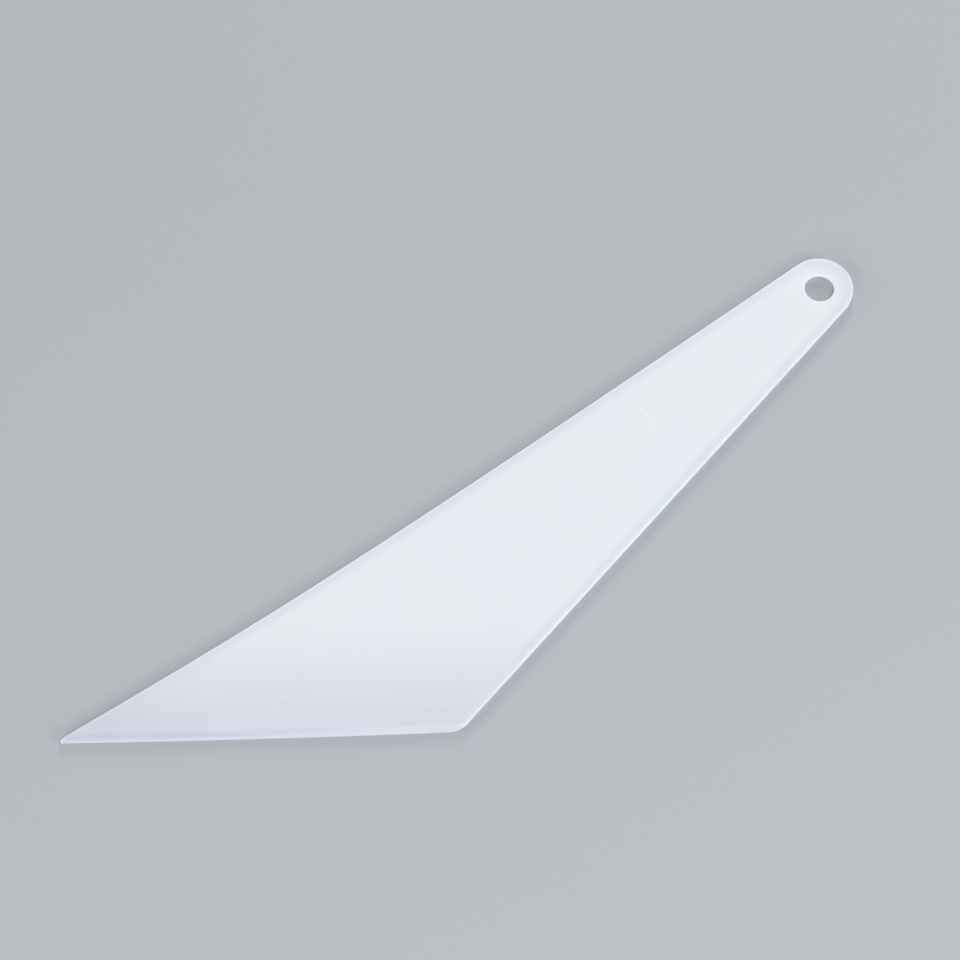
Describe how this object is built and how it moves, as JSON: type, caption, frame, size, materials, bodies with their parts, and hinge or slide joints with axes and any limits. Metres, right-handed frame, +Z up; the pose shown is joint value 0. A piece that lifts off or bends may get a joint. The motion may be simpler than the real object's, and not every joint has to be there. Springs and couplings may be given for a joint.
{
  "type": "triangular scoring and smoothing blade",
  "caption": "Flat white plastic hand blade, long and triangular, with a bevelled working edge at the front and a rounded grip end with a hang hole.",
  "frame": {"origin": "on the underside, at the middle of the blade's bounding box", "axes": "+X along the working edge from the sharp tip towards the heel and grip, +Y from the working edge towards the grip end, +Z up out of the bevelled face"},
  "size_m": [0.2766, 0.1754, 0.002],
  "materials": {
    "white_plastic": "white sheet plastic, smooth, between satin and semi-gloss"
  },
  "bodies": {
    "root": {"blade": "white_plastic"}
  },
  "joints": []
}
